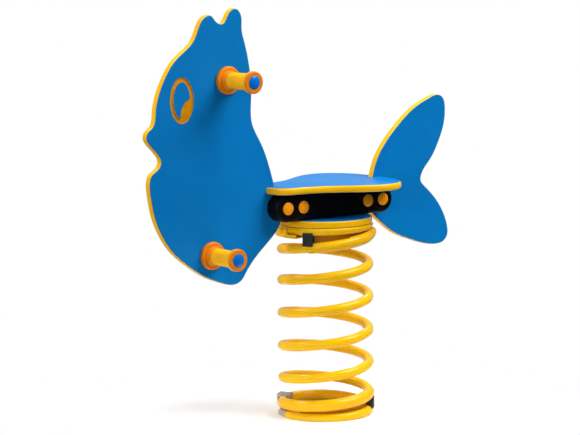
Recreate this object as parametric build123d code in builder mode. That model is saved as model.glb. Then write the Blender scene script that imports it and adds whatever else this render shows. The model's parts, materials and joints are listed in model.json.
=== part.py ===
from build123d import *
import os
from math import cos, radians, sin

# A playground spring rider: a fish cut from plastic board on a steel coil spring.
# Millimetres. The origin is on the spring's axis at ground level, +Z is up, the fish looks
# towards -X, and the rider's left is -Y.

# ---------------------------------------------------------------- driving dimensions
spring_height = 400.0
wire_diameter = 20.0
spring_diameter = 200.0
board_thickness = 15.0
# Slack of a clearance hole or a loose fit, all round.
clearance = 0.3

wire_radius = wire_diameter / 2
coil_radius = spring_diameter / 2 - wire_radius
half_board = board_thickness / 2

# Each row is (turns from the bottom tip, height of the wire's centre line there).
# The first and the last turn close down and are ground flat on the plates.
coil_heights = [
    (0.0, 1.5),
    (0.5, 10.0),
    (0.75, 18.2),
    (1.0, 23.6),
    (1.25, 32.6),
    (1.5, 44.8),
    (2.0, 75.9),
    (6.0, 347.1),
    (6.5, 375.8),
    (7.0, 391.0),
    (7.5, 398.5),
]
bottom_tip_angle = 142.2
# The spring bends, sways, shortens and twists at these stations, counted in turns.
flex_stations = [1.75, 2.45, 3.15, 3.85, 4.55, 5.25, 5.95]
last_turn = coil_heights[-1][0]

sleeve_radius = 12.0
sleeve_bore = wire_radius + clearance
lower_sleeve_turns = (1.0, 1.5)
back_sleeve_turns = (0.6, 0.925)
upper_sleeve_turns = (6.21, 6.52)
# Each sleeve carries a web that closes the narrowing gap beside it.
web_radii = (80.5, 88.0)
lower_web_turns = (1.14, 1.45)
lower_web_heights = (10.0, 32.0)
upper_web_turns = (6.208, 6.49)
upper_web_heights = (368.0, 389.0)
web_margin = 0.02

plate_radius = 78.0
base_plate_thickness = 8.0
top_plate_thickness = 6.0
top_plate_face = spring_height - top_plate_thickness
anchor_pcd = 90.0
anchor_hole_radius = 7.0
anchor_hole_start = 45.0

clamp_thickness = 3.0
clamp_flange = (54.0, 78.5)
clamp_hook_radius = 103.5
clamp_gap = 0.4
# How far the hooks reach past the wire's centre line.
lower_hook_depth = 3.0
upper_hook_depth = -6.0
clamp_bolt_circle = 64.0
bolt_radius = 5.0
bolt_tip_recess = 0.5
# Where each clamp sits round the axis, and how far round it reaches, in degrees.
lower_clamps_at = ((130.0, 24.0), (350.0, 14.0))
upper_clamps_at = ((173.0, 46.0), (70.0, 44.0))
# The upper front clamp has a taller finger, with a set screw against the wire.
finger_angles = (157.0, 182.0)
finger_rise = 4.0
finger_root = 5.0
set_screw_angle = 173.0
set_screw_radius = 3.0
set_screw_head_radius = 5.0 / cos(radians(30))
set_screw_head_height = 4.5

# Hexagon heads of the M10 bolts: corner radius and height.
bolt_hex_radius = 8.5 / cos(radians(30))
bolt_head_height = 6.5

# Rubber wedges where the closing turns nearly touch their neighbours.
guard_radii = (81.0, 101.5)
guard_corner = 2.0
guard_half_turns = 0.017
lower_guard_turn = 0.470
upper_guard_turn = 6.190
guard_sink = 3.0
upper_guard_rise = 5.0

disc_radius = 98.0
disc_bottom = spring_height
disc_top = disc_bottom + board_thickness
beam_height = 57.0
beam_width = 32.5
beam_half_length = 153.5
beam_shift = -2.0
beam_top = disc_top + beam_height
beam_middle = disc_top + beam_height / 2
beam_outer = half_board + beam_width
seat_top = beam_top + board_thickness

side_bolt_offsets = (-125.0, -85.0, 85.0, 125.0)
side_bolt_hole = 5.5
tongue_gap = 3.5
tongue_corner = 8.0
cap_pocket_radius = 12.0
cap_pocket_depth = 14.0
washer_thickness = 2.0

deck_bolt_grid = (76.0, 47.5)
deck_bolt_top = 455.0
seat_screw_grid = (124.0, 47.5)
seat_screw_radius = 4.0
seat_screw_depth = 11.0

disc_edge_radius = 4.0
beam_edge_radius = 8.0
board_edge_radius = 3.0
seat_edge_radius = 6.0
seat_slot_depth = 29.0
slot_half_width = half_board + clearance
screw_head_radius = 7.0
screw_head_height = 4.0
screw_head_gap = 1.0
side_nut_height = 7.0
washer_radius = 10.0

cap_radius = 13.0
cap_rim = 1.5
cap_height = 5.5
cap_wall = 1.5
cap_skirt_radius = 11.8
cap_skirt_depth = 4.0
cap_dome_radius = (cap_radius**2 + (cap_height - cap_rim) ** 2) / (2 * (cap_height - cap_rim))

hand_place = (-252.5, 709.0)
foot_place = (-296.0, 360.0)
handle_length = 90.0
handle_flange_radius = 28.3
grip_radius = 16.0
handle_end_radius = 22.5
handle_end_rounding = 3.0
rod_radius = 6.0
rod_hole = rod_radius + clearance
rod_recess = 4.0
rib_count = 13
rib_height = 1.0
grip_start = 17.0
grip_end = 79.0
handle_flange_thickness = 9.0
handle_flange_rounding = 4.0
handle_foot_bevel = 1.0
handle_neck_radius = 20.5
handle_neck_end = 11.0
handle_pocket = 15.0
plug_radius = 13.5
plug_fit = 0.2
plug_skirt = 5.0
plug_back = 2.0
plug_dome = 3.5
plug_rim = handle_length + 0.5
plug_dome_radius = (plug_radius**2 + plug_dome**2) / (2 * plug_dome)
rod_washer_radius = 12.0
rod_nut_radius = 9.25 / cos(radians(30))
rod_nut_height = 8.0

eye_centre = (-363.5, 674.5)
eye_outer = (28.6, 46.0)
eye_inner = (19.8, 36.5)
pupil_centre = (-350.0, 651.0)
pupil_radii = (15.5, 27.0)
pupil_tilt = -20.0
pupil_margin = 2.0
groove_depth = 2.0

os.makedirs("parts", exist_ok=True)


def finish(part, name):
    """Label one finished piece and write it."""
    part.label = name
    export_step(part, "parts/" + name + ".step")


def group(parts):
    """Several separate solids of one kind as one node."""
    return Compound(children=parts)


def side_plane(distance):
    """A plane parallel to the boards, at a distance to the right of the centre."""
    return Plane.XZ.offset(-distance)


# ---------------------------------------------------------------- the coil spring
def coil_height(turn):
    """Height of the wire's centre line after a number of turns."""
    for (t0, z0), (t1, z1) in zip(coil_heights, coil_heights[1:]):
        if turn <= t1:
            return z0 + (z1 - z0) * (turn - t0) / (t1 - t0)
    return coil_heights[-1][1]


def coil_angle(turn):
    return bottom_tip_angle + 360 * turn


def even_stretch(start, end, outer, bore):
    """One stretch of round bar or tube along a helix of even pitch."""
    turns = end - start
    rise = coil_height(end) - coil_height(start)
    with BuildPart() as stretch:
        with BuildLine() as path:
            Helix(pitch=rise / turns, height=rise, radius=coil_radius)
        with BuildSketch(Plane(origin=path.line @ 0, x_dir=(1, 0, 0), z_dir=(0, 1, 0))):
            Circle(outer)
            if bore > 0:
                Circle(bore, mode=Mode.SUBTRACT)
        sweep(path=path.line, is_frenet=True)
    return Location((0, 0, coil_height(start)), (0, 0, coil_angle(start))) * stretch.part


def coil_stretch(start, end, outer, bore=0.0):
    """A stretch of the coil, made of one even helix between each two listed heights."""
    marks = [start] + [turn for turn, height in coil_heights if start < turn < end] + [end]
    pieces = [even_stretch(a, b, outer, bore) for a, b in zip(marks, marks[1:])]
    with BuildPart() as coil:
        for piece in pieces:
            add(piece)
    return coil.part


coil_ends = [0.0] + flex_stations + [last_turn]
for number, (start, end) in enumerate(zip(coil_ends, coil_ends[1:]), start=1):
    with BuildPart() as spring_coil:
        add(coil_stretch(start, end, wire_radius))
        if start == 0.0:
            split(bisect_by=Plane.XY, keep=Keep.TOP)
        if end == last_turn:
            split(bisect_by=Plane.XY.offset(spring_height), keep=Keep.BOTTOM)
    finish(spring_coil.part, "spring_coil_" + str(number))



def webbed_sleeve(turns, web_turns, web_heights, neighbour):
    """A sleeve on the wire, with a web towards the turn that lies neighbour turns further on.

    The web's root ends half-way through the sleeve's wall.
    """
    start, end = web_turns
    stop = min(end + neighbour + web_margin, last_turn)
    with BuildPart() as web:
        with BuildSketch(Plane.XZ):
            with Locations((sum(web_radii) / 2, sum(web_heights) / 2)):
                Rectangle(web_radii[1] - web_radii[0], web_heights[1] - web_heights[0])
        revolve(axis=Axis.Z, revolution_arc=360 * (end - start))
    with BuildPart() as sleeve:
        add(web.part.rotate(Axis.Z, coil_angle(start)))
        add(
            coil_stretch(start + neighbour - web_margin, stop, wire_radius + clearance),
            mode=Mode.SUBTRACT,
        )
        add(
            coil_stretch(start - web_margin, end + web_margin, (sleeve_bore + sleeve_radius) / 2),
            mode=Mode.SUBTRACT,
        )
        add(coil_stretch(*turns, sleeve_radius, sleeve_bore))
    return sleeve.part


lower_sleeves = [
    webbed_sleeve(lower_sleeve_turns, lower_web_turns, lower_web_heights, -1),
    coil_stretch(*back_sleeve_turns, sleeve_radius, sleeve_bore),
]
finish(group(lower_sleeves), "lower_coil_sleeve")
finish(
    webbed_sleeve(upper_sleeve_turns, upper_web_turns, upper_web_heights, 1),
    "upper_coil_sleeve",
)


# ---------------------------------------------------------------- plates and clamps
def grid_points(grid):
    """The four corners of a rectangle about the spring's axis."""
    return [(x * grid[0] / 2, y * grid[1] / 2) for x in (-1, 1) for y in (-1, 1)]


def clamp_bolt_point(angle):
    return clamp_bolt_circle * cos(radians(angle)), clamp_bolt_circle * sin(radians(angle))


with BuildPart() as base_plate:
    Cylinder(plate_radius, base_plate_thickness, align=(Align.CENTER, Align.CENTER, Align.MIN))
    with PolarLocations(anchor_pcd / 2, 4, start_angle=anchor_hole_start):
        Hole(anchor_hole_radius)
    with Locations([clamp_bolt_point(angle) for angle, spread in lower_clamps_at]):
        Hole(bolt_radius)
finish(base_plate.part, "base_plate")

with BuildPart() as top_plate:
    with BuildSketch(Plane.XY.offset(top_plate_face)):
        Circle(plate_radius)
        with Locations(grid_points(deck_bolt_grid)):
            Circle(bolt_radius, mode=Mode.SUBTRACT)
        with Locations([clamp_bolt_point(angle) for angle, spread in upper_clamps_at]):
            Circle(bolt_radius, mode=Mode.SUBTRACT)
    extrude(amount=top_plate_thickness)
finish(top_plate.part, "top_plate")


def wire_height_at(angle, first_turn):
    """Height of the wire's centre line over an angle, on the turn after first_turn."""
    return coil_height(first_turn + ((angle - bottom_tip_angle) % 360) / 360)


def clamp(angle, spread, first_turn, plate_face, side, hook_depth):
    """A bent steel claw: bolted flat on a plate inside the coil and hooked over the wire.

    side is 1 for a claw that stands up from the plate below, and -1 for one that hangs.
    """
    ends = [wire_height_at(angle + side * spread / 2 * k, first_turn) for k in (-1, 1)]
    wire_height = max(ends) if side > 0 else min(ends)
    lip = wire_height + side * (wire_radius + clamp_gap)
    lip_far = lip + side * clamp_thickness
    flange_far = plate_face + side * clamp_thickness
    hook_end = wire_height - side * hook_depth
    inner, wall = clamp_flange
    hook_inner = clamp_hook_radius - clamp_thickness
    with BuildPart() as claw:
        with BuildSketch(Plane.XZ):
            with BuildLine():
                Polyline(
                    (inner, plate_face),
                    (wall, plate_face),
                    (wall, lip),
                    (hook_inner, lip),
                    (hook_inner, hook_end),
                    (clamp_hook_radius, hook_end),
                    (clamp_hook_radius, lip_far),
                    (wall - clamp_thickness, lip_far),
                    (wall - clamp_thickness, flange_far),
                    (inner, flange_far),
                    close=True,
                )
            make_face()
        revolve(axis=Axis.Z, revolution_arc=spread)
    with BuildPart() as placed:
        add(claw.part.rotate(Axis.Z, angle - spread / 2))
        with Locations((*clamp_bolt_point(angle), plate_face)):
            Cylinder(bolt_radius, 4 * clamp_thickness, mode=Mode.SUBTRACT)
    return placed.part


def hex_bolt(place, head_face, tip):
    """A vertical M10 bolt: its head sits against head_face and its shank ends at tip."""
    side = 1 if tip > head_face else -1
    with BuildPart() as bolt:
        with BuildSketch(Plane.XY.offset(head_face)):
            with Locations(place):
                RegularPolygon(bolt_hex_radius, 6)
        extrude(amount=-side * bolt_head_height)
        with BuildSketch(Plane.XY.offset(head_face)):
            with Locations(place):
                Circle(bolt_radius)
        extrude(amount=tip - head_face)
    return bolt.part


lower_clamps = [
    clamp(angle, spread, 0, base_plate_thickness, 1, lower_hook_depth)
    for angle, spread in lower_clamps_at
]
finish(group(lower_clamps), "lower_spring_clamps")
upper_clamps = [
    clamp(angle, spread, turn, top_plate_face, -1, upper_hook_depth)
    for (angle, spread), turn in zip(upper_clamps_at, (7, 6))
]

# The front claw's finger rises outside the wire and carries the set screw.
finger_wire = wire_height_at(set_screw_angle, 7)
finger_bottom = finger_wire + upper_hook_depth - finger_root
finger_span = finger_angles[1] - finger_angles[0]
finger_wall = (clamp_hook_radius - clamp_thickness, clamp_hook_radius)
screw_way = Plane(
    origin=(0, 0, finger_wire),
    x_dir=(-sin(radians(set_screw_angle)), cos(radians(set_screw_angle)), 0),
    z_dir=(cos(radians(set_screw_angle)), sin(radians(set_screw_angle)), 0),
)
with BuildPart() as finger:
    with BuildSketch(Plane.XZ):
        with Locations((sum(finger_wall) / 2, (finger_bottom + finger_wire + finger_rise) / 2)):
            Rectangle(clamp_thickness, finger_wire + finger_rise - finger_bottom)
    revolve(axis=Axis.Z, revolution_arc=finger_span)
with BuildPart() as front_clamp:
    add(upper_clamps[0])
    add(finger.part.rotate(Axis.Z, finger_angles[0]))
    with BuildSketch(screw_way.offset(coil_radius)):
        Circle(set_screw_radius)
    extrude(amount=2 * (clamp_hook_radius - coil_radius), mode=Mode.SUBTRACT)
finish(group([front_clamp.part, upper_clamps[1]]), "upper_spring_clamps")

with BuildPart() as set_screw:
    with BuildSketch(screw_way.offset(coil_radius + wire_radius + clearance)):
        Circle(set_screw_radius)
    extrude(amount=clamp_hook_radius - coil_radius - wire_radius - clearance)
    with BuildSketch(screw_way.offset(clamp_hook_radius)):
        RegularPolygon(set_screw_head_radius, 6)
    extrude(amount=set_screw_head_height)
finish(set_screw.part, "upper_clamp_set_screw")

lower_head_face = base_plate_thickness + clamp_thickness
lower_bolts = [
    hex_bolt(clamp_bolt_point(angle), lower_head_face, bolt_tip_recess)
    for angle, spread in lower_clamps_at
]
finish(group(lower_bolts), "lower_clamp_bolts")
upper_head_face = top_plate_face - clamp_thickness
upper_bolts = [
    hex_bolt(clamp_bolt_point(angle), upper_head_face, spring_height - bolt_tip_recess)
    for angle, spread in upper_clamps_at
]
finish(group(upper_bolts), "upper_clamp_bolts")


def finger_guard(turn, low, high, bars):
    """A rubber wedge that fills the narrowing gap between the closing turn and the next.

    bars holds the turn and the radius of each bar that the wedge is moulded round.
    """
    angle = coil_angle(turn)
    spread = 2 * 360 * guard_half_turns
    reach = 3 * guard_half_turns
    with BuildPart() as wedge:
        with BuildSketch(Plane.XZ):
            with Locations(((guard_radii[0] + guard_radii[1]) / 2, (low + high) / 2)):
                RectangleRounded(guard_radii[1] - guard_radii[0], high - low, guard_corner)
        revolve(axis=Axis.Z, revolution_arc=spread)
    with BuildPart() as placed:
        add(wedge.part.rotate(Axis.Z, angle - spread / 2))
        for bar_turn, radius in bars:
            add(coil_stretch(bar_turn - reach, bar_turn + reach, radius), mode=Mode.SUBTRACT)
    return placed.part


lower_guard = finger_guard(
    lower_guard_turn,
    coil_height(lower_guard_turn) + guard_sink,
    coil_height(lower_guard_turn + 1) - guard_sink,
    (
        (lower_guard_turn, wire_radius + clearance),
        (lower_guard_turn + 1, sleeve_radius + clearance),
    ),
)
finish(lower_guard, "lower_finger_guard")
upper_guard = finger_guard(
    upper_guard_turn,
    coil_height(upper_guard_turn) + upper_guard_rise,
    coil_height(upper_guard_turn + 1) - guard_sink,
    (
        (upper_guard_turn, wire_radius + clearance),
        (upper_guard_turn + 1, wire_radius + clearance),
    ),
)
finish(upper_guard, "upper_finger_guard")


# ---------------------------------------------------------------- disc, beams and their bolts
with BuildPart() as spring_disc:
    Cylinder(disc_radius, board_thickness, align=(Align.CENTER, Align.CENTER, Align.MIN))
    fillet(spring_disc.edges(), disc_edge_radius)
    with Locations(grid_points(deck_bolt_grid)):
        Hole(bolt_radius)
finish(spring_disc.part.moved(Location((0, 0, disc_bottom))), "spring_disc")

deck_bolts = [
    hex_bolt(place, top_plate_face, deck_bolt_top) for place in grid_points(deck_bolt_grid)
]
finish(group(deck_bolts), "deck_bolts")

seat_screw_top = beam_top + seat_screw_depth
seat_screws = []
for place in grid_points(seat_screw_grid):
    with BuildPart() as screw:
        with BuildSketch(Plane.XY.offset(disc_top + screw_head_gap)):
            with Locations(place):
                Circle(screw_head_radius)
        extrude(amount=screw_head_height)
        with BuildSketch(Plane.XY.offset(disc_top + screw_head_gap)):
            with Locations(place):
                Circle(seat_screw_radius)
        extrude(amount=seat_screw_top - disc_top - screw_head_gap)
    seat_screws.append(screw.part)
finish(group(seat_screws), "seat_screws")

side_bolt_points = [(beam_shift + x, beam_middle) for x in side_bolt_offsets]
pocket_floor = beam_outer - cap_pocket_depth
washer_face = pocket_floor + washer_thickness

for name, side in (("left_beam", -1), ("right_beam", 1)):
    with BuildPart() as beam:
        with BuildSketch(side_plane(side * half_board)):
            with Locations((beam_shift, beam_middle)):
                SlotOverall(2 * beam_half_length, beam_height)
        extrude(amount=-side * beam_width)
        outer_face = beam.faces().sort_by(Axis.Y)[-1 if side > 0 else 0]
        fillet(outer_face.edges(), beam_edge_radius)
        with BuildSketch(side_plane(side * half_board)):
            with Locations(side_bolt_points):
                Circle(side_bolt_hole)
        extrude(amount=-side * beam_width, mode=Mode.SUBTRACT)
        with BuildSketch(side_plane(side * pocket_floor)):
            with Locations(side_bolt_points):
                Circle(cap_pocket_radius)
        extrude(amount=-side * cap_pocket_depth, mode=Mode.SUBTRACT)
        with BuildSketch(Plane.XY.offset(disc_top)):
            with Locations(grid_points(deck_bolt_grid)):
                Circle(bolt_radius)
        extrude(amount=deck_bolt_top - disc_top, mode=Mode.SUBTRACT)
        with BuildSketch(Plane.XY.offset(disc_top)):
            with Locations(grid_points(seat_screw_grid)):
                Circle(seat_screw_radius)
        extrude(amount=beam_height, mode=Mode.SUBTRACT)
        with BuildSketch(Plane.XY.offset(disc_top)):
            with Locations(grid_points(seat_screw_grid)):
                Circle(screw_head_radius)
        extrude(amount=screw_head_gap + screw_head_height, mode=Mode.SUBTRACT)
    finish(beam.part, name)


side_bolts = []
side_nuts = []
side_washers = []
for place in side_bolt_points:
    with BuildPart() as bolt:
        with BuildSketch(side_plane(-washer_face)):
            with Locations(place):
                RegularPolygon(bolt_hex_radius, 6)
        extrude(amount=bolt_head_height)
        with BuildSketch(side_plane(-washer_face)):
            with Locations(place):
                Circle(bolt_radius)
        extrude(amount=-(2 * washer_face + side_nut_height))
    side_bolts.append(bolt.part)
    with BuildPart() as nut:
        with BuildSketch(side_plane(washer_face)):
            with Locations(place):
                RegularPolygon(bolt_hex_radius, 6)
                Circle(bolt_radius, mode=Mode.SUBTRACT)
        extrude(amount=-side_nut_height)
    side_nuts.append(nut.part)
    for side in (-1, 1):
        with BuildPart() as washer:
            with BuildSketch(side_plane(side * pocket_floor)):
                with Locations(place):
                    Circle(washer_radius)
                    Circle(bolt_radius + clearance, mode=Mode.SUBTRACT)
            extrude(amount=-side * washer_thickness)
        side_washers.append(washer.part)
finish(group(side_bolts), "side_bolts")
finish(group(side_nuts), "side_nuts")
finish(group(side_washers), "side_washers")

with BuildPart() as bolt_cap:
    with BuildSketch(Plane.XZ):
        with BuildLine():
            Polyline(
                (0, cap_wall),
                (cap_skirt_radius - cap_wall, cap_wall),
                (cap_skirt_radius - cap_wall, -cap_skirt_depth),
                (cap_skirt_radius, -cap_skirt_depth),
                (cap_skirt_radius, 0),
                (cap_radius, 0),
                (cap_radius, cap_rim),
            )
            RadiusArc((cap_radius, cap_rim), (0, cap_height), -cap_dome_radius)
            Line((0, cap_height), (0, cap_wall))
        make_face()
    revolve(axis=Axis.Z)
for name, side in (("left_bolt_caps", -1), ("right_bolt_caps", 1)):
    caps = [
        Plane(origin=(x, side * beam_outer, z), x_dir=(1, 0, 0), z_dir=(0, side, 0)).location
        * bolt_cap.part
        for x, z in side_bolt_points
    ]
    finish(group(caps), name)


# ---------------------------------------------------------------- the fish: head, tail and seat
tongue_low = disc_top + tongue_gap
tongue_high = beam_top - tongue_gap


def tongue(start, end):
    """The square-cut part of a board that is gripped between the beams."""
    with BuildPart() as block:
        with BuildSketch(Plane.XZ):
            with Locations(((start + end) / 2, (tongue_low + tongue_high) / 2)):
                RectangleRounded(end - start, tongue_high - tongue_low, tongue_corner)
        extrude(amount=half_board, both=True)
    return block.part


head_outline = [
    (-131.0, 474.0),
    (-138.0, 497.0),
    (-166.0, 573.0),
    (-181.5, 600.0),
    (-190.5, 620.0),
    (-193.0, 644.0),
    (-191.5, 678.0),
    (-195.0, 729.0),
    (-207.5, 784.0),
    (-214.0, 812.0),
    (-215.5, 838.0),
    (-229.0, 851.5),
    (-245.0, 845.0),
    (-262.5, 822.5),
    (-276.0, 826.0),
    (-291.0, 840.0),
    (-306.0, 836.5),
    (-322.0, 815.0),
    (-335.0, 790.0),
    (-354.0, 773.0),
    (-380.0, 753.0),
    (-402.0, 724.0),
    (-418.0, 692.0),
    (-427.0, 658.0),
    (-429.5, 637.0),
    (-434.0, 627.0),
    (-446.0, 617.0),
    (-450.0, 604.0),
    (-440.0, 588.0),
    (-423.5, 571.0),
    (-416.0, 555.0),
    (-425.0, 541.5),
    (-438.0, 532.5),
    (-443.5, 520.0),
    (-442.0, 488.0),
    (-434.0, 450.0),
    (-417.0, 411.0),
    (-391.0, 375.0),
    (-355.0, 345.0),
    (-314.0, 318.5),
    (-272.0, 301.5),
    (-236.0, 295.5),
    (-221.0, 302.0),
    (-209.0, 317.0),
    (-179.0, 351.0),
    (-140.0, 385.0),
    (-120.0, 412.0),
    (-121.0, 445.0),
]
head_tongue = (-130.0, -62.0)
with BuildPart() as head_panel:
    with BuildSketch(Plane.XZ):
        with BuildLine():
            Spline(*head_outline, periodic=True)
        make_face()
    extrude(amount=half_board, both=True)
    fillet(head_panel.edges(), board_edge_radius)
    add(tongue(*head_tongue))
    with BuildSketch(Plane.XZ):
        with Locations(hand_place, foot_place):
            Circle(rod_hole)
        with Locations(side_bolt_points[:2]):
            Circle(side_bolt_hole)
    extrude(amount=half_board, both=True, mode=Mode.SUBTRACT)
    for side in (-1, 1):
        with BuildSketch(side_plane(side * half_board)):
            with Locations(eye_centre):
                Ellipse(*eye_outer)
                Ellipse(*eye_inner, mode=Mode.SUBTRACT)
        extrude(amount=side * groove_depth, mode=Mode.SUBTRACT)
        with BuildSketch(side_plane(side * half_board)):
            with Locations(pupil_centre):
                Ellipse(*pupil_radii, rotation=pupil_tilt)
            with Locations(eye_centre):
                Ellipse(
                    eye_outer[0] - pupil_margin, eye_outer[1] - pupil_margin, mode=Mode.INTERSECT
                )
        extrude(amount=side * groove_depth, mode=Mode.SUBTRACT)
finish(head_panel.part, "head_panel")

tail_outline = [
    (117.0, 466.0),
    (122.5, 489.0),
    (135.0, 524.0),
    (160.5, 560.0),
    (195.0, 594.0),
    (240.0, 627.5),
    (282.0, 646.0),
    (304.0, 651.0),
    (320.0, 643.0),
    (326.0, 622.0),
    (322.0, 585.0),
    (308.0, 551.0),
    (284.0, 513.0),
    (260.0, 484.0),
    (257.0, 471.0),
    (268.0, 457.0),
    (295.0, 432.0),
    (318.0, 401.0),
    (332.0, 367.0),
    (332.5, 346.0),
    (322.0, 333.5),
    (304.0, 329.0),
    (269.0, 332.5),
    (225.0, 346.0),
    (182.0, 363.5),
    (143.0, 391.0),
    (116.0, 418.0),
    (110.0, 440.0),
]
tail_tongue = (58.0, 124.0)
with BuildPart() as tail_panel:
    with BuildSketch(Plane.XZ):
        with BuildLine():
            Spline(*tail_outline, periodic=True)
        make_face()
    extrude(amount=half_board, both=True)
    fillet(tail_panel.edges(), board_edge_radius)
    add(tongue(*tail_tongue))
    with BuildSketch(Plane.XZ):
        with Locations(side_bolt_points[2:]):
            Circle(side_bolt_hole)
    extrude(amount=half_board, both=True, mode=Mode.SUBTRACT)
finish(tail_panel.part, "tail_panel")

seat_front = -157.0
seat_side = [
    (-156.0, 22.0),
    (-150.0, 42.0),
    (-133.0, 54.0),
    (-105.0, 57.5),
    (-70.0, 65.0),
    (-24.0, 89.0),
    (22.0, 117.0),
    (56.0, 128.0),
    (90.0, 125.0),
    (116.0, 108.0),
    (136.0, 76.0),
    (145.0, 38.0),
]
seat_back = 147.0
seat_other_side = [(x, -y) for x, y in reversed(seat_side)]
with BuildPart() as seat_board:
    with BuildSketch(Plane.XY.offset(beam_top)):
        with BuildLine():
            Spline(
                (seat_front, 0), *seat_side, (seat_back, 0), *seat_other_side, periodic=True
            )
        make_face()
    extrude(amount=board_thickness)
    fillet(seat_board.edges(), seat_edge_radius)
    with BuildSketch(Plane.XY.offset(beam_top)):
        with Locations((seat_front, 0), (seat_back, 0)):
            Rectangle(2 * seat_slot_depth, 2 * slot_half_width)
    extrude(amount=board_thickness, mode=Mode.SUBTRACT)
    with BuildSketch(Plane.XY.offset(beam_top)):
        with Locations(grid_points(seat_screw_grid)):
            Circle(seat_screw_radius)
    extrude(amount=seat_screw_depth, mode=Mode.SUBTRACT)
finish(seat_board.part, "seat_board")


# ---------------------------------------------------------------- handles and their rods
def facing(place, side):
    """A frame on the head's face at a place, with its third axis pointing away from the board."""
    x, z = place
    return Plane(origin=(x, side * half_board, z), x_dir=(1, 0, 0), z_dir=(0, side, 0)).location


rib_pitch = (grip_end - grip_start) / rib_count
flange_flat = handle_flange_radius - handle_flange_rounding
end_flat = handle_end_radius - handle_end_rounding
plug_seat = handle_length - handle_pocket
with BuildPart() as handle:
    with BuildSketch(Plane.XZ):
        with BuildLine():
            Polyline(
                (rod_hole, 0),
                (handle_flange_radius - handle_foot_bevel, 0),
                (handle_flange_radius, handle_foot_bevel),
                (handle_flange_radius, handle_flange_thickness - handle_flange_rounding),
            )
            RadiusArc(
                (handle_flange_radius, handle_flange_thickness - handle_flange_rounding),
                (flange_flat, handle_flange_thickness),
                -handle_flange_rounding,
            )
            Polyline(
                (flange_flat, handle_flange_thickness),
                (handle_neck_radius, handle_flange_thickness),
                (handle_neck_radius, handle_neck_end),
                (grip_radius, grip_start),
            )
            for rib in range(rib_count):
                low = grip_start + rib * rib_pitch
                ThreePointArc(
                    (grip_radius, low),
                    (grip_radius + rib_height, low + rib_pitch / 2),
                    (grip_radius, low + rib_pitch),
                )
            Line((grip_radius, grip_end), (end_flat, grip_end))
            RadiusArc(
                (end_flat, grip_end),
                (handle_end_radius, grip_end + handle_end_rounding),
                -handle_end_rounding,
            )
            Line(
                (handle_end_radius, grip_end + handle_end_rounding),
                (handle_end_radius, handle_length - handle_end_rounding),
            )
            RadiusArc(
                (handle_end_radius, handle_length - handle_end_rounding),
                (end_flat, handle_length),
                -handle_end_rounding,
            )
            Polyline(
                (end_flat, handle_length),
                (plug_radius + plug_fit, handle_length),
                (plug_radius + plug_fit, plug_seat),
                (rod_hole, plug_seat),
                (rod_hole, 0),
            )
        make_face()
    revolve(axis=Axis.Z)

for kind, place in (("hand_grip", hand_place), ("foot_rest", foot_place)):
    for word, side in (("left", -1), ("right", 1)):
        finish(facing(place, side) * handle.part, word + "_" + kind)

rod_reach = half_board + handle_length - rod_recess
for name, place in (("hand_rod", hand_place), ("foot_rod", foot_place)):
    with BuildPart() as rod:
        with BuildSketch(Plane.XZ):
            with Locations(place):
                Circle(rod_radius)
        extrude(amount=rod_reach, both=True)
    finish(rod.part, name)

with BuildPart() as rod_washer:
    with BuildSketch(Plane.XY.offset(plug_seat)):
        Circle(rod_washer_radius)
        Circle(rod_hole, mode=Mode.SUBTRACT)
    extrude(amount=washer_thickness)

with BuildPart() as rod_nut:
    with BuildSketch(Plane.XY.offset(plug_seat + washer_thickness)):
        RegularPolygon(rod_nut_radius, 6)
        Circle(rod_radius, mode=Mode.SUBTRACT)
    extrude(amount=rod_nut_height)

with BuildPart() as end_plug:
    with BuildSketch(Plane.XZ):
        with BuildLine():
            Polyline(
                (0, handle_length - plug_back),
                (plug_radius - cap_wall, handle_length - plug_back),
                (plug_radius - cap_wall, handle_length - plug_skirt),
                (plug_radius, handle_length - plug_skirt),
                (plug_radius, plug_rim),
            )
            RadiusArc((plug_radius, plug_rim), (0, plug_rim + plug_dome), -plug_dome_radius)
            Line((0, plug_rim + plug_dome), (0, handle_length - plug_back))
        make_face()
    revolve(axis=Axis.Z)

for name, model in (
    ("rod_washers", rod_washer),
    ("rod_nuts", rod_nut),
    ("handle_end_plugs", end_plug),
):
    pieces = [
        facing(place, side) * model.part for place in (hand_place, foot_place) for side in (-1, 1)
    ]
    finish(group(pieces), name)
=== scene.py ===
import json
import math

import bpy
from mathutils import Matrix, Vector


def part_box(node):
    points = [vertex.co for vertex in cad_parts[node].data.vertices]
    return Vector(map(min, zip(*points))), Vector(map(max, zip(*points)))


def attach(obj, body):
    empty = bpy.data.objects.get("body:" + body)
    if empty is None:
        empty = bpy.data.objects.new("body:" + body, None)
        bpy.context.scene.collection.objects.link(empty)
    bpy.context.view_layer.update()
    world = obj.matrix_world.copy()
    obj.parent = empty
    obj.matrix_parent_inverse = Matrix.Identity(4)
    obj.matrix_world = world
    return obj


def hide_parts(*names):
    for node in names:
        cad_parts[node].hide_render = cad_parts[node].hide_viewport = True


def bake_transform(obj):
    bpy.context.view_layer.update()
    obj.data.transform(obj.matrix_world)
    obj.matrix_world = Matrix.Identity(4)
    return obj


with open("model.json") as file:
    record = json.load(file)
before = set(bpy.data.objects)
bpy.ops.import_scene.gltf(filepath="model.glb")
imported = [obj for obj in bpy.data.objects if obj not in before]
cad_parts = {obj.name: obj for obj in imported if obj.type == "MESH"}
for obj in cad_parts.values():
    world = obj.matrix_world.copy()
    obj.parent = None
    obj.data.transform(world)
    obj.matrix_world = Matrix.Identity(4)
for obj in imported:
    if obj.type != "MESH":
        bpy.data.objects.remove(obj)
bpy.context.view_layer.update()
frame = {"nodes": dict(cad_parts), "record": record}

# ---------------------------------------------------------------- sizes, in metres
MM = 0.001
WIRE_RADIUS = 10 * MM
COIL_RADIUS = 90 * MM
SPRING_TOP = 400 * MM
SLEEVE_RADIUS = 12 * MM
SLEEVE_BORE = 10.3 * MM
HALF_BOARD = 7.5 * MM
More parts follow.
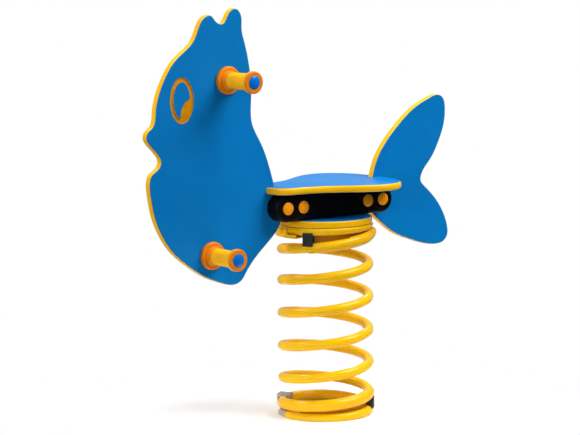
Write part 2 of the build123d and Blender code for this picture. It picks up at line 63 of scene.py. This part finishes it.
SKIN = 0.7 * MM

# (turns from the bottom tip, height of the wire's centre line)
COIL_HEIGHTS = [
    (0.0, 1.5),
    (0.5, 10.0),
    (0.75, 18.2),
    (1.0, 23.6),
    (1.25, 32.6),
    (1.5, 44.8),
    (2.0, 75.9),
    (6.0, 347.1),
    (6.5, 375.8),
    (7.0, 391.0),
    (7.5, 398.5),
]
BOTTOM_TIP_ANGLE = 142.2
# Places along the wire are counted in turns from the bottom tip.
# Each joint bends the wire around one station, over the reach to each side of it.
FLEX_STATIONS = [1.75, 2.45, 3.15, 3.85, 4.55, 5.25, 5.95]
FLEX_REACH = 0.35
RIGID_BOTTOM_END = 1.5
RIGID_TOP_START = 6.2
LAST_TURN = 7.5
RINGS_PER_TURN = 72
RING_POINTS = 28
TANGENT_STEP = 0.002

# The lowest tip of the wire has lost its paint. The attribute "bare" fades out along the wire.
BARE_TURNS = 0.085
BARE_LEVEL = 0.75
BARE_FADE = 25

# Where each sleeve and web starts and ends. The cut is how far the slanted start reaches.
LOWER_SLEEVE = (1.0, 1.5)
BACK_SLEEVE = (0.6, 0.925)
UPPER_SLEEVE = (6.184, 6.52)
UPPER_SLEEVE_CUT = 0.162
# The sleeve's last end flares, from the first to the second distance before it.
UPPER_SLEEVE_FLARE = 5 * MM
FLARE_TURNS = (0.06, 0.02)
FLARE_LIP = 0.9
FLARE_LIP_ANGLE = math.radians(38)
FLARE_LIP_SHARPNESS = 8
FLARE_BELLY = 0.6
FLARE_BELLY_ANGLE = math.radians(5)
FLARE_BELLY_SHARPNESS = 3
SLEEVE_START_ROUNDING = 0.5 * MM
SLEEVE_END_ROUNDING = 0.3 * MM
SLEEVE_SHARP_ANGLE = math.radians(50)

LOWER_WEB = (1.14, 1.45)
UPPER_WEB = (6.208, 6.49)
WEB_RADII = (80.5 * MM, 88 * MM)
WEB_STEPS = 8
THINNEST_WEB = 0.2 * MM

# Distances from the board's face to where the grips' flange colour fades out and their rim begins.
FLANGE_FADE = (14 * MM, 24 * MM)
RIM_FADE = (84 * MM, 88 * MM)

FLOOR_RADIUS = 0.55
FLOOR_POINTS = 96

# ---------------------------------------------------------------- colours
BLUE = (0.0, 0.175, 0.50)
BLUE_GRAIN = (0.02, 0.24, 0.62, 1.0)
YELLOW_CORE = (0.92, 0.50, 0.005)
CORE_STREAK = (0.80, 0.36, 0.002, 1.0)
ROUTED_CORE = (0.62, 0.25, 0.004)
SPRING_YELLOW = (0.90, 0.51, 0.003)
SPRING_DUST = (0.70, 0.40, 0.03, 1.0)
BARE_WIRE = (0.46, 0.36, 0.26)
SLEEVE_YELLOW = (0.88, 0.47, 0.004)
# The webs' dark brown is painted shade. It stands for yellow plastic lying in shade in the deep gap
# between the sleeve and the next turn.
WEB_PAINTED_SHADE = (0.42, 0.17, 0.003)
BEAM_BLACK = (0.003, 0.003, 0.004)
RUBBER_BLACK = (0.018, 0.018, 0.020)
ORANGE = (0.98, 0.32, 0.002)
GRIP = (0.98, 0.50, 0.002)
FLANGE = (0.80, 0.22, 0.002)
GRIME = (0.55, 0.17, 0.002, 1.0)
PLUG_BLUE = (0.0, 0.155, 0.62)
ZINC_DARK = (0.42, 0.43, 0.44, 1.0)
ZINC_LIGHT = (0.62, 0.63, 0.65, 1.0)
ZINC_STAIN = (0.50, 0.47, 0.43, 1.0)
WHITE = (1.0, 1.0, 1.0, 1.0)
PALE_FLOOR = (0.94, 0.94, 0.94, 1.0)


# ---------------------------------------------------------------- material kit
# Numbers of a Mix node's sockets for colours. It has others of the same names for other types.
MIX_FACTOR = 0
MIX_A = 6
MIX_B = 7
MIX_RESULT = 2


class Nodes:
    """A short way to build a material's nodes."""

    def __init__(self, name):
        self.material = bpy.data.materials.new(name)
        self.material.use_nodes = True
        self.tree = self.material.node_tree
        self.tree.nodes.clear()
        output = self.tree.nodes.new("ShaderNodeOutputMaterial")
        self.shader = self.tree.nodes.new("ShaderNodeBsdfPrincipled")
        self.link(self.shader.outputs[0], output.inputs[0])

    def link(self, a, b):
        self.tree.links.new(a, b)

    def put(self, socket, value):
        if isinstance(value, bpy.types.NodeSocket):
            self.link(value, socket)
        else:
            socket.default_value = value

    def set(self, **values):
        """Sets or links the shader's inputs. An underscore in a key stands for a space."""
        for key, value in values.items():
            self.put(self.shader.inputs[key.replace("_", " ")], value)

    def position(self):
        return self.tree.nodes.new("ShaderNodeTexCoord").outputs["Object"]

    def normal(self):
        return self.tree.nodes.new("ShaderNodeTexCoord").outputs["Normal"]

    def part(self, vector, letter):
        node = self.tree.nodes.new("ShaderNodeSeparateXYZ")
        self.link(vector, node.inputs[0])
        return node.outputs[letter]

    def math(self, operation, a, b=0.0):
        node = self.tree.nodes.new("ShaderNodeMath")
        node.operation = operation
        self.put(node.inputs[0], a)
        self.put(node.inputs[1], b)
        return node.outputs[0]

    def ramp(self, value, low, high, to_low=0.0, to_high=1.0):
        """A smooth step of value from low to high."""
        node = self.tree.nodes.new("ShaderNodeMapRange")
        node.interpolation_type = "SMOOTHSTEP"
        self.put(node.inputs["Value"], value)
        node.inputs["From Min"].default_value = low
        node.inputs["From Max"].default_value = high
        node.inputs["To Min"].default_value = to_low
        node.inputs["To Max"].default_value = to_high
        return node.outputs[0]

    def noise(self, vector, scale, detail, roughness=0.5):
        node = self.tree.nodes.new("ShaderNodeTexNoise")
        self.link(vector, node.inputs["Vector"])
        node.inputs["Scale"].default_value = scale
        node.inputs["Detail"].default_value = detail
        node.inputs["Roughness"].default_value = roughness
        return node.outputs["Fac"]

    def stretch(self, vector, scale):
        node = self.tree.nodes.new("ShaderNodeMapping")
        self.link(vector, node.inputs["Vector"])
        node.inputs["Scale"].default_value = scale
        return node.outputs[0]

    def cells(self, vector, scale):
        """A random colour for each cell of a Voronoi pattern."""
        node = self.tree.nodes.new("ShaderNodeTexVoronoi")
        self.link(vector, node.inputs["Vector"])
        node.inputs["Scale"].default_value = scale
        return node.outputs["Color"]

    def mix(self, factor, a, b):
        """A mix of two colours."""
        node = self.tree.nodes.new("ShaderNodeMix")
        node.data_type = "RGBA"
        self.put(node.inputs[MIX_FACTOR], factor)
        self.put(node.inputs[MIX_A], a)
        self.put(node.inputs[MIX_B], b)
        return node.outputs[MIX_RESULT]

    def bump(self, height, strength, distance, normal=None):
        node = self.tree.nodes.new("ShaderNodeBump")
        node.inputs["Strength"].default_value = strength
        node.inputs["Distance"].default_value = distance
        self.link(height, node.inputs["Height"])
        if normal is not None:
            self.link(normal, node.inputs["Normal"])
        return node.outputs[0]

    def attribute(self, name):
        node = self.tree.nodes.new("ShaderNodeAttribute")
        node.attribute_name = name
        return node.outputs["Fac"]


def varied(n, place, color, share, scale):
    """A colour that drifts slightly darker and lighter over the surface."""
    dark = [c * (1 - share) for c in color] + [1.0]
    light = [min(1.0, c * (1 + share)) for c in color] + [1.0]
    return n.mix(n.ramp(n.noise(place, scale, 4.0), 0.3, 0.7), dark, light)


def board_material(name, letter, middle):
    """Two-colour board: thin blue skins on a yellow core, split by the distance from its mid-plane."""
    n = Nodes(name)
    place = n.position()
    depth = n.math("ABSOLUTE", n.math("SUBTRACT", n.part(place, letter), middle))
    wander = n.math("MULTIPLY", n.noise(place, 60.0, 2.0), 0.1 * MM)
    edge = n.math("ADD", depth, wander)
    skin = n.ramp(edge, HALF_BOARD - SKIN - 0.05 * MM, HALF_BOARD - SKIN + 0.15 * MM)
    grain = n.noise(place, 1400.0, 2.0, 0.6)
    mottle = n.noise(place, 9.0, 3.0)
    blue = varied(n, place, BLUE, 0.05, 7.0)
    blue = n.mix(n.ramp(grain, 0.3, 0.75, 0.0, 0.10), blue, BLUE_GRAIN)
    core = varied(n, place, YELLOW_CORE, 0.06, 11.0)
    streak = n.noise(n.stretch(place, (40.0, 40.0, 40.0)), 45.0, 2.0)
    core = n.mix(n.ramp(streak, 0.35, 0.7, 0.0, 0.10), core, CORE_STREAK)
    # Where the core faces the same way as the board, a router has cut down to it.
    facing = n.math("ABSOLUTE", n.part(n.normal(), letter))
    core = n.mix(n.ramp(facing, 0.80, 0.97), core, varied(n, place, ROUTED_CORE, 0.10, 90.0))
    scratch = n.ramp(n.noise(n.stretch(place, (18.0, 18.0, 240.0)), 5.0, 3.0, 0.7), 0.66, 0.74)
    skin_roughness = n.ramp(mottle, 0.2, 0.8, 0.36, 0.46)
    polish = n.ramp(skin, 0.0, 1.0, 0.4, 1.0)
    n.set(
        Base_Color=n.mix(skin, core, blue),
        Roughness=n.math(
            "ADD", n.math("MULTIPLY", skin_roughness, polish), n.math("MULTIPLY", scratch, 0.08)
        ),
    )
    n.shader.inputs["Specular IOR Level"].default_value = 0.12
    stipple = n.bump(grain, 0.22, 0.12 * MM)
    wave = n.bump(n.noise(place, 24.0, 2.0), 0.12, 0.8 * MM, stipple)
    n.set(Normal=n.bump(scratch, 0.10, 0.05 * MM, wave))
    return n.material


def powder_coat(name, color):
    """Thick glossy powder coat: orange peel, faint drift of colour, bare metal where 'bare' is set."""
    n = Nodes(name)
    place = n.position()
    paint = varied(n, place, color, 0.05, 14.0)
    dust = n.ramp(n.noise(place, 55.0, 4.0, 0.65), 0.55, 0.8, 0.0, 0.10)
    paint = n.mix(dust, paint, SPRING_DUST)
    bare = n.ramp(n.math("ADD", n.attribute("bare"), n.noise(place, 120.0, 3.0)), 1.15, 1.35)
    wire = varied(n, place, BARE_WIRE, 0.12, 160.0)
    peel = n.noise(place, 420.0, 2.0, 0.5)
    gloss = n.ramp(n.noise(place, 30.0, 3.0), 0.2, 0.8, 0.16, 0.26)
    n.set(
        Base_Color=n.mix(bare, paint, wire),
        Roughness=n.math("ADD", gloss, n.math("MULTIPLY", bare, 0.35)),
        Normal=n.bump(peel, 0.16, 0.25 * MM),
    )
    n.shader.inputs["Specular IOR Level"].default_value = 0.15
    n.shader.inputs["Coat Weight"].default_value = 0.08
    n.shader.inputs["Coat Roughness"].default_value = 0.05
    return n.material


def moulded_plastic(name, color, rough, share, fine_scale, fine_depth, gloss=0.3):
    """Plastic or rubber with a fine moulded surface, and duller darker patches where it is worn."""
    n = Nodes(name)
    place = n.position()
    tone = varied(n, place, color, share, 30.0)
    fine = n.noise(place, fine_scale, 2.0, 0.6)
    worn = n.ramp(n.noise(place, 70.0, 4.0, 0.7), 0.55, 0.8)
    scuffed = [min(1.0, c * 0.7 + 0.05) for c in color] + [1.0]
    n.set(
        Base_Color=n.mix(n.math("MULTIPLY", worn, 0.10), tone, scuffed),
        Roughness=n.ramp(worn, 0.0, 1.0, rough, rough + 0.10),
        Normal=n.bump(fine, fine_depth, 0.12 * MM),
    )
    n.shader.inputs["Specular IOR Level"].default_value = gloss
    return n.material


def grip_plastic(name):
    """Yellow-orange moulding, darker on the flange and on the rim at its outer end."""
    n = Nodes(name)
    place = n.position()
    reach = n.math("ABSOLUTE", n.part(place, "Y"))
    flange = n.ramp(reach, HALF_BOARD + FLANGE_FADE[0], HALF_BOARD + FLANGE_FADE[1], 1.0, 0.0)
    rim = n.ramp(reach, HALF_BOARD + RIM_FADE[0], HALF_BOARD + RIM_FADE[1])
    ends = n.math("MAXIMUM", flange, rim)
    tone = n.mix(ends, varied(n, place, GRIP, 0.05, 30.0), varied(n, place, FLANGE, 0.06, 30.0))
    grime = n.ramp(n.noise(place, 110.0, 4.0, 0.7), 0.5, 0.8, 0.0, 0.18)
    n.set(
        Base_Color=n.mix(grime, tone, GRIME),
        Roughness=n.ramp(n.noise(place, 60.0, 3.0), 0.3, 0.7, 0.28, 0.38),
        Normal=n.bump(n.noise(place, 1000.0, 2.0, 0.6), 0.10, 0.12 * MM),
    )
    n.shader.inputs["Specular IOR Level"].default_value = 0.2
    return n.material


def zinc_material(name):
    """Galvanised steel with its spangle and dull patches."""
    n = Nodes(name)
    place = n.position()
    spangle = n.part(n.cells(place, 260.0), "X")
    tone = n.mix(n.ramp(spangle, 0.0, 1.0), ZINC_DARK, ZINC_LIGHT)
    dull = n.ramp(n.noise(place, 90.0, 4.0, 0.7), 0.5, 0.75)
    n.set(
        Base_Color=n.mix(n.math("MULTIPLY", dull, 0.5), tone, ZINC_STAIN),
        Roughness=n.ramp(dull, 0.0, 1.0, 0.34, 0.55),
        Normal=n.bump(n.noise(place, 700.0, 3.0, 0.6), 0.18, 0.1 * MM),
    )
    n.shader.inputs["Metallic"].default_value = 0.9
    return n.material


# ---------------------------------------------------------------- looks of the CAD nodes
seat_low, seat_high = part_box("seat_board")
disc_low, disc_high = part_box("spring_disc")
LOOKS = {
    "upright_board": board_material("two_colour_board_upright", "Y", 0.0),
    "seat": board_material("two_colour_board_seat", "Z", (seat_low.z + seat_high.z) / 2),
    "disc": board_material("two_colour_board_disc", "Z", (disc_low.z + disc_high.z) / 2),
    "spring": powder_coat("yellow_powder_coat", SPRING_YELLOW),
    "sleeve": moulded_plastic("yellow_sleeve_plastic", SLEEVE_YELLOW, 0.22, 0.05, 500.0, 0.12, 0.2),
    # The web's dark brown colour is painted shade for the recess between the coils.
    "web": moulded_plastic("web_plastic_painted_shade", WEB_PAINTED_SHADE, 0.40, 0.15, 300.0, 0.16, 0.12),
    "beam": moulded_plastic("black_beam_plastic", BEAM_BLACK, 0.42, 0.25, 1100.0, 0.20, 0.08),
    "orange": moulded_plastic("orange_moulded_plastic", ORANGE, 0.30, 0.06, 1000.0, 0.10, 0.2),
    "grip": grip_plastic("ribbed_grip_plastic"),
    "plug": moulded_plastic("blue_moulded_plastic", PLUG_BLUE, 0.20, 0.05, 1000.0, 0.06),
    "rubber": moulded_plastic("black_rubber", RUBBER_BLACK, 0.60, 0.25, 600.0, 0.30),
    "zinc": zinc_material("galvanised_steel"),
}

LOOK_OF_SLOT = {
    "spring_paint": "spring",
    "yellow_sleeve": "sleeve",
    "zinc_steel": "zinc",
    "black_rubber": "rubber",
    "blue_board": "upright_board",
    "black_beam": "beam",
    "orange_plastic": "orange",
    "blue_plastic": "plug",
}
for part in frame["record"]["subparts"]:
    look = LOOK_OF_SLOT[part["material_slot"]]
    if part["node"].endswith(("_grip", "_foot_rest")):
        look = "grip"
    if part["node"] == "seat_board":
        look = "seat"
    if part["node"] == "spring_disc":
        look = "disc"
    mesh = frame["nodes"][part["node"]].data
    mesh.materials.clear()
    mesh.materials.append(LOOKS[look])


# ---------------------------------------------------------------- the spring
def coil_slopes():
    """The wire's slope at each listed height, so that the curve through them has no kink or overshoot."""
    spans = [
        (z1 - z0) / (t1 - t0) for (t0, z0), (t1, z1) in zip(COIL_HEIGHTS, COIL_HEIGHTS[1:])
    ]
    inner = [2 * a * b / (a + b) for a, b in zip(spans, spans[1:])]
    return [spans[0]] + inner + [spans[-1]]


COIL_SLOPES = coil_slopes()


def coil_height(turn):
    """Height of the wire's centre line after a number of turns: a cubic through the listed heights."""
    k = 0
    while k < len(COIL_HEIGHTS) - 2 and turn > COIL_HEIGHTS[k + 1][0]:
        k += 1
    (t0, z0), (t1, z1) = COIL_HEIGHTS[k], COIL_HEIGHTS[k + 1]
    span = t1 - t0
    s = (turn - t0) / span
    h00 = 2 * s**3 - 3 * s**2 + 1
    h10 = s**3 - 2 * s**2 + s
    h01 = -2 * s**3 + 3 * s**2
    h11 = s**3 - s**2
    slope0, slope1 = COIL_SLOPES[k], COIL_SLOPES[k + 1]
    return MM * (h00 * z0 + h10 * span * slope0 + h01 * z1 + h11 * span * slope1)


def turn_angle(turn):
    """The direction from the spring's axis to the wire, in radians."""
    return math.radians(BOTTOM_TIP_ANGLE + 360 * turn)


def coil_point(turn):
    """The wire's centre line."""
    angle = turn_angle(turn)
    return Vector((COIL_RADIUS * math.cos(angle), COIL_RADIUS * math.sin(angle), coil_height(turn)))


def coil_frame(turn):
    """The point, the outward direction and the upward direction of the wire's section."""
    point = coil_point(turn)
    along = (coil_point(turn + TANGENT_STEP) - coil_point(turn - TANGENT_STEP)).normalized()
    outward = Vector((point.x, point.y, 0)).normalized()
    outward = (outward - along * outward.dot(along)).normalized()
    return point, outward, along.cross(outward).normalized() * -1


def add_mesh(name, vertices, faces):
    """Puts an object of these vertices and faces into the scene."""
    mesh = bpy.data.meshes.new(name)
    mesh.from_pydata(vertices, [], faces)
    mesh.validate()
    thing = bpy.data.objects.new(name, mesh)
    bpy.context.scene.collection.objects.link(thing)
    return thing


def wire(name, stations, caps):
    """The wire along the coil, with its two ends ground flat. caps closes its start or its end."""
    vertices, faces, bare = [], [], []
    for turn in stations:
        point, outward, upward = coil_frame(turn)
        for k in range(RING_POINTS):
            phi = 2 * math.pi * k / RING_POINTS
            spot = point + WIRE_RADIUS * (math.cos(phi) * outward + math.sin(phi) * upward)
            spot.z = min(max(spot.z, 0.0), SPRING_TOP)
            vertices.append(spot)
            bare.append(min(max(BARE_LEVEL + (BARE_TURNS - turn) * BARE_FADE, 0.0), 1.0))
    for i in range(len(stations) - 1):
        for k in range(RING_POINTS):
            a = i * RING_POINTS + k
            b = i * RING_POINTS + (k + 1) % RING_POINTS
            faces.append((a, b, b + RING_POINTS, a + RING_POINTS))
    for end in caps:
        first = 0 if end == "start" else (len(stations) - 1) * RING_POINTS
        ring = list(range(first, first + RING_POINTS))
        middle = len(vertices)
        vertices.append(sum((vertices[i] for i in ring), Vector()) / RING_POINTS)
        bare.append(1.0 if end == "start" else 0.0)
        for k in range(RING_POINTS):
            here, after = ring[k], ring[(k + 1) % RING_POINTS]
            faces.append((middle, after, here) if end == "start" else (middle, here, after))
    thing = add_mesh(name, vertices, faces)
    thing.data.attributes.new("bare", "FLOAT", "POINT").data.foreach_set("value", bare)
    thing.data.polygons.foreach_set("use_smooth", [True] * len(thing.data.polygons))
    return thing


def even_stations(start, end):
    """Evenly spaced places along the wire, both ends included."""
    count = max(2, round((end - start) * RINGS_PER_TURN))
    return [start + (end - start) * i / count for i in range(count + 1)]


wire_bottom = wire("spring_wire_bottom", even_stations(0.0, RIGID_BOTTOM_END), ["start"])
wire_top = wire("spring_wire_top", even_stations(RIGID_TOP_START, LAST_TURN), ["end"])
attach(wire_bottom, "base")
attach(wire_top, "rider")
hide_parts("spring_coil_1")
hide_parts("spring_coil_8")
wire_pieces = [wire_bottom, wire_top]
for number, station in enumerate(FLEX_STATIONS):
    start = max(station - FLEX_REACH, RIGID_BOTTOM_END)
    end = min(station + FLEX_REACH, RIGID_TOP_START)
    piece = wire("spring_wire_" + str(number + 1), even_stations(start, end), [])
    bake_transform(piece)
    nodes = ["spring_coil_" + str(number + 1), "spring_coil_" + str(number + 2)]
    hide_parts(*nodes)
    wire_pieces.append(piece)
for piece in wire_pieces:
    piece.data.materials.append(LOOKS["spring"])


# ---------------------------------------------------------------- the sleeves and their webs
def smooth(value, low, high):
    """A smooth step of value from low to high."""
    s = min(max((value - low) / (high - low), 0.0), 1.0)
    return s * s * (3 - 2 * s)


def flare_share(phi, turn, end):
    """How much of the flare a point of the sleeve gets: an upper outer lip and a wider belly."""
    lip = max(0.0, math.cos(phi - FLARE_LIP_ANGLE)) ** FLARE_LIP_SHARPNESS
    belly = max(0.0, math.cos(phi - FLARE_BELLY_ANGLE)) ** FLARE_BELLY_SHARPNESS
    near_end = smooth(turn, end - FLARE_TURNS[0], end - FLARE_TURNS[1])
    return (FLARE_LIP * lip + FLARE_BELLY * belly) * near_end


def sleeve(name, start, end, cut, flare):
    """A closed sleeve on the wire. cut slants its first end, flare widens its last end."""
    between = even_stations(start, end)[1:-1]
    rings = [(start, SLEEVE_BORE), (start, SLEEVE_RADIUS - SLEEVE_START_ROUNDING)]
    rings += [(turn, SLEEVE_RADIUS) for turn in between]
    rings += [(end, SLEEVE_RADIUS - SLEEVE_END_ROUNDING), (end, SLEEVE_BORE)]
    rings += [(turn, SLEEVE_BORE) for turn in reversed(between)]
    vertices, faces = [], []
    for turn, radius in rings:
        for k in range(RING_POINTS):
            phi = 2 * math.pi * k / RING_POINTS
            lag = cut * (1 + math.sin(phi)) / 2
            here = end - (end - start - lag) * (end - turn) / (end - start)
            wide = radius
            if radius > SLEEVE_BORE:
                wide += flare * flare_share(phi, here, end)
            point, outward, upward = coil_frame(here)
            vertices.append(point + wide * (math.cos(phi) * outward + math.sin(phi) * upward))
    count = len(rings)
    for i in range(count):
        for k in range(RING_POINTS):
            after = (k + 1) % RING_POINTS
            this_ring = i * RING_POINTS
            next_ring = (i + 1) % count * RING_POINTS
            faces.append((this_ring + k, this_ring + after, next_ring + after, next_ring + k))
    thing = add_mesh(name, vertices, faces)
    thing.data.polygons.foreach_set("use_smooth", [True] * len(faces))
    thing.data.set_sharp_from_angle(angle=SLEEVE_SHARP_ANGLE)
    return thing


def web(name, start, end, neighbour):
    """The strip that closes the gap between the sleeve and the turn that lies neighbour turns on."""
    side = 1 if neighbour > 0 else -1
    vertices, faces = [], []
    stations = even_stations(start, end)
    for turn in stations:
        angle = turn_angle(turn)
        roots, crests = [], []
        for i in range(WEB_STEPS + 1):
            radius = WEB_RADII[0] + (WEB_RADII[1] - WEB_RADII[0]) * i / WEB_STEPS
            bulge = math.sqrt(SLEEVE_BORE**2 - (radius - COIL_RADIUS) ** 2)
            root = coil_height(turn) + side * bulge
            crest = coil_height(turn + neighbour) - side * bulge
            if side * (crest - root) < THINNEST_WEB:
                crest = root + side * THINNEST_WEB
            roots.append(Vector((radius * math.cos(angle), radius * math.sin(angle), root)))
            crests.append(Vector((radius * math.cos(angle), radius * math.sin(angle), crest)))
        vertices += roots + crests[::-1]
    loop = 2 * (WEB_STEPS + 1)
    for s in range(len(stations) - 1):
        for k in range(loop):
            a, b = s * loop + k, s * loop + (k + 1) % loop
            faces.append((a, b, b + loop, a + loop))
    last = (len(stations) - 1) * loop
    faces.append(tuple(reversed(range(loop))))
    faces.append(tuple(range(last, last + loop)))
    return add_mesh(name, vertices, faces)


lower_sleeve = sleeve("lower_sleeve", *LOWER_SLEEVE, 0.0, 0.0)
upper_sleeve = sleeve("upper_sleeve", *UPPER_SLEEVE, UPPER_SLEEVE_CUT, UPPER_SLEEVE_FLARE)
back_sleeve = sleeve("lower_back_sleeve", *BACK_SLEEVE, 0.0, 0.0)
lower_web = web("lower_sleeve_web", *LOWER_WEB, -1)
upper_web = web("upper_sleeve_web", *UPPER_WEB, 1)
for piece, body, node, look in (
    (lower_sleeve, "base", "lower_coil_sleeve", "sleeve"),
    (back_sleeve, "base", "lower_coil_sleeve", "sleeve"),
    (lower_web, "base", "lower_coil_sleeve", "web"),
    (upper_sleeve, "rider", "upper_coil_sleeve", "sleeve"),
    (upper_web, "rider", "upper_coil_sleeve", "web"),
):
    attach(piece, body)
    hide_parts(node)
    piece.data.materials.append(LOOKS[look])


# ---------------------------------------------------------------- camera, floor and light
VIEW_AZIMUTH = math.radians(-37.79)
VIEW_ELEVATION = math.radians(7.384)
VIEW_ROLL = math.radians(-0.47)
CAMERA_PLACE = (-3.1630, -3.9614, 1.0684)
SENSOR_WIDTH_MM = 36.0
FOCAL_LENGTH_MM = 153.1
camera_data = bpy.data.cameras.new("camera")
camera_data.sensor_width = SENSOR_WIDTH_MM
camera_data.lens = FOCAL_LENGTH_MM
camera_data.clip_end = 100.0
camera = bpy.data.objects.new("camera", camera_data)
bpy.context.scene.collection.objects.link(camera)
back = Vector(
    (
        math.sin(VIEW_AZIMUTH) * math.cos(VIEW_ELEVATION),
        -math.cos(VIEW_AZIMUTH) * math.cos(VIEW_ELEVATION),
        math.sin(VIEW_ELEVATION),
    )
)
level = Vector((math.cos(VIEW_AZIMUTH), math.sin(VIEW_AZIMUTH), 0))
upright = back.cross(level)
side = math.cos(VIEW_ROLL) * level + math.sin(VIEW_ROLL) * upright
top = -math.sin(VIEW_ROLL) * level + math.cos(VIEW_ROLL) * upright
rotation = Matrix((side, top, back)).transposed().to_4x4()
camera.matrix_world = Matrix.Translation(CAMERA_PLACE) @ rotation
bpy.context.scene.camera = camera


def area_light(name, place, target, size, power):
    """A white rectangular light at a place, aimed at a target. The size is its width and height."""
    data = bpy.data.lights.new(name, "AREA")
    data.shape = "RECTANGLE"
    data.size, data.size_y = size
    data.energy = power
    lamp = bpy.data.objects.new(name, data)
    bpy.context.scene.collection.objects.link(lamp)
    aim = (Vector(target) - Vector(place)).to_track_quat("-Z", "Y")
    lamp.matrix_world = Matrix.Translation(place) @ aim.to_matrix().to_4x4()


area_light("key", (1.2, -1.35, 2.9), (-0.05, 0, 0.5), (2.0, 2.0), 132)
area_light("front_fill", (-3.0, -2.1, 1.3), (0, 0, 0.45), (2.0, 2.0), 48)
area_light("left_fill", (-3.0, 0.3, 1.6), (0, 0, 0.45), (0.5, 1.8), 26)
area_light("back_light", (-0.9, 1.7, 2.9), (0, 0, 0.5), (0.7, 0.7), 37)
area_light("right_light", (1.9, 1.5, 2.2), (0, 0, 0.45), (0.7, 0.7), 13)

# The world looks white, and lights the object softly, more from its right than from its left.
GLOW_RANGE = (-0.35, 0.45)
GLOW_STRENGTH = (0.06, 0.42)
world = bpy.data.worlds.new("studio")
world.use_nodes = True
sky = world.node_tree
background = sky.nodes["Background"]
direction = sky.nodes.new("ShaderNodeTexCoord").outputs["Generated"]
toward_back = sky.nodes.new("ShaderNodeSeparateXYZ")
sky.links.new(direction, toward_back.inputs[0])
glow = sky.nodes.new("ShaderNodeMapRange")
glow.interpolation_type = "SMOOTHSTEP"
sky.links.new(toward_back.outputs["Y"], glow.inputs["Value"])
glow.inputs["From Min"].default_value, glow.inputs["From Max"].default_value = GLOW_RANGE
glow.inputs["To Min"].default_value, glow.inputs["To Max"].default_value = GLOW_STRENGTH
seen = sky.nodes.new("ShaderNodeLightPath").outputs["Is Camera Ray"]
strength = sky.nodes.new("ShaderNodeMath")
strength.operation = "MAXIMUM"
sky.links.new(glow.outputs[0], strength.inputs[0])
sky.links.new(seen, strength.inputs[1])
sky.links.new(strength.outputs[0], background.inputs["Strength"])
background.inputs["Color"].default_value = WHITE
bpy.context.scene.world = world
bpy.context.scene.view_settings.view_transform = "Standard"

floor_angles = [2 * math.pi * k / FLOOR_POINTS for k in range(FLOOR_POINTS)]
floor_rim = [(FLOOR_RADIUS * math.cos(a), FLOOR_RADIUS * math.sin(a), 0) for a in floor_angles]
floor = add_mesh("floor", floor_rim, [tuple(range(FLOOR_POINTS))])
pale = Nodes("pale_floor")
pale.set(Base_Color=PALE_FLOOR, Roughness=0.8)
floor.data.materials.append(pale.material)
